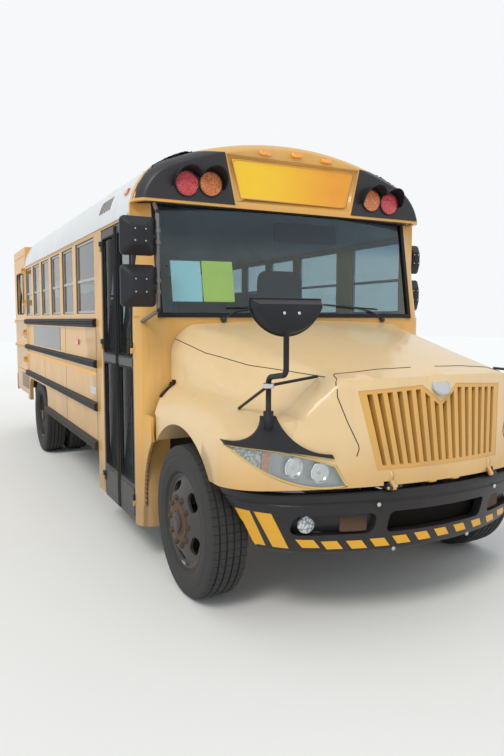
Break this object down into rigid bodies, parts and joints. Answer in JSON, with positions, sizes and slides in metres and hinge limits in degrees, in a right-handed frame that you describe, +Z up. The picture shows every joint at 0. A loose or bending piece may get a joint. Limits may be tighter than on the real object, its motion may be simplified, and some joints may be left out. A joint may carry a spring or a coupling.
{
  "type": "school bus",
  "caption": "Short conventional school bus with a tilting nose, twin-leaf entrance, raised lift door, emergency door, stop arm and twin rear wheels.",
  "frame": {"origin": "on the ground under the middle of the length and width", "axes": "+Z up, the nose towards -Y, the entrance side towards -X"},
  "size_m": [2.782, 7.9898, 2.9516],
  "materials": {
    "yellow_paint": "satin, sun faded",
    "white_paint": "satin",
    "black_paint": "satin",
    "frame_black": "matt, dusty",
    "engine_grey": "rough",
    "tank_steel": "satin",
    "floor_rubber": "ribbed",
    "glass_clear": "clear",
    "glass_tint": "tinted",
    "sash_dark": "anodised",
    "rubber_black": "matt",
    "tyre_rubber": "dusty",
    "wheel_steel": "black, rust at the studs",
    "lamp_red": "beaded lens",
    "lamp_amber": "lens",
    "lamp_clear": "slightly clouded",
    "plastic_black": "grained",
    "seat_vinyl": "dark green vinyl",
    "seat_grey": "woven",
    "dash_grey": "grained",
    "stop_red": "reflective"
  },
  "bodies": {
    "body": {"chassis_frame": "frame_black", "front_axle": "frame_black", "rear_axle": "frame_black", "engine": "engine_grey", "driveline": "frame_black", "fuel_tank": "tank_steel", "stepwell": "frame_black", "floor": "floor_rubber", "side_wall_right": "yellow_paint", "side_wall_left": "yellow_paint", "lift_doorway": "yellow_paint", "roof": "white_paint", "front_cap": "yellow_paint", "windscreen": "glass_clear", "windscreen_frame": "rubber_black", "front_pillars": "yellow_paint", "cowl": "yellow_paint", "front_bumper": "black_paint", "rear_bumper": "black_paint", "rear_wall": "yellow_paint", "window_sashes": "sash_dark", "side_glass": "glass_tint", "rub_rails": "black_paint", "warning_lamps": "lamp_red", "lamp_visors": "plastic_black", "marker_lamps": "lamp_amber", "side_mirrors": "plastic_black", "seat_cushions": "seat_vinyl", "seat_backs": "seat_vinyl", "seat_frames": "frame_black", "driver_seat": "seat_grey", "dashboard": "dash_grey", "steering_wheel": "plastic_black", "grab_rails": "yellow_paint", "mud_flaps": "rubber_black"},
    "nose": {"hood": "yellow_paint", "grille": "yellow_paint", "headlamps": "lamp_clear", "crossover_mirrors": "plastic_black"},
    "entrance_front": {"entrance_leaf_front": "black_paint", "entrance_glass_front": "glass_clear"},
    "entrance_rear": {"entrance_leaf_rear": "black_paint", "entrance_glass_rear": "glass_clear"},
    "lift_door": {"lift_door": "yellow_paint", "lift_door_glass": "glass_tint"},
    "rear_door": {"rear_door": "yellow_paint", "rear_door_glass": "glass_tint"},
    "stop_arm": {"stop_arm": "stop_red"},
    "knuckle_right": {"knuckle_right": "frame_black"},
    "knuckle_left": {"knuckle_left": "frame_black"},
    "wheel_front_right": {"tyre_front_right": "tyre_rubber", "wheel_front_right": "wheel_steel"},
    "wheel_front_left": {"tyre_front_left": "tyre_rubber", "wheel_front_left": "wheel_steel"},
    "wheel_rear_right": {"tyre_rear_right": "tyre_rubber", "wheel_rear_right": "wheel_steel"},
    "wheel_rear_left": {"tyre_rear_left": "tyre_rubber", "wheel_rear_left": "wheel_steel"}
  },
  "joints": [
    {"name": "nose_tilt", "type": "hinge", "parent": "body", "child": "nose", "pos_m": [0, -3.967, 0.806], "axis": [1, 0, 0], "range_deg": [0, 50]},
    {"name": "entrance_front_hinge", "type": "hinge", "parent": "body", "child": "entrance_front", "pos_m": [-1.229, -2.272, 0.261], "axis": [0, 0, 1], "range_deg": [0, 90]},
    {"name": "entrance_rear_hinge", "type": "hinge", "parent": "body", "child": "entrance_rear", "pos_m": [-1.229, -1.446, 0.261], "axis": [0, 0, -1], "range_deg": [0, 90]},
    {"name": "lift_door_hinge", "type": "hinge", "parent": "body", "child": "lift_door", "pos_m": [-1.257, 2.8, 0.96], "axis": [0, 0, 1], "range_deg": [0, 110]},
    {"name": "rear_door_hinge", "type": "hinge", "parent": "body", "child": "rear_door", "pos_m": [-0.403, 3.907, 0.994], "axis": [0, 0, 1], "range_deg": [0, 110]},
    {"name": "stop_arm_hinge", "type": "hinge", "parent": "body", "child": "stop_arm", "pos_m": [1.271, -1.315, 1.465], "axis": [0, 0, -1], "range_deg": [0, 90]},
    {"name": "steer_right", "type": "hinge", "parent": "body", "child": "knuckle_right", "pos_m": [-0.888, -2.972, 0.46], "axis": [0, 0, 1], "range_deg": [-35, 35]},
    {"name": "steer_left", "type": "hinge", "parent": "body", "child": "knuckle_left", "pos_m": [0.888, -2.972, 0.46], "axis": [0, 0, 1], "range_deg": [-35, 35]},
    {"name": "roll_front_right", "type": "hinge", "parent": "knuckle_right", "child": "wheel_front_right", "pos_m": [-1.028, -2.972, 0.46], "axis": [1, 0, 0], "continuous": true},
    {"name": "roll_front_left", "type": "hinge", "parent": "knuckle_left", "child": "wheel_front_left", "pos_m": [1.028, -2.972, 0.46], "axis": [1, 0, 0], "continuous": true},
    {"name": "roll_rear_right", "type": "hinge", "parent": "body", "child": "wheel_rear_right", "pos_m": [-1.078, 1.93, 0.46], "axis": [1, 0, 0], "continuous": true},
    {"name": "roll_rear_left", "type": "hinge", "parent": "body", "child": "wheel_rear_left", "pos_m": [1.078, 1.93, 0.46], "axis": [1, 0, 0], "continuous": true}
  ],
  "couplings": [
    {"joint": "entrance_rear_hinge", "follows": "entrance_front_hinge", "ratio": 1},
    {"joint": "steer_left", "follows": "steer_right", "ratio": 1}
  ]
}
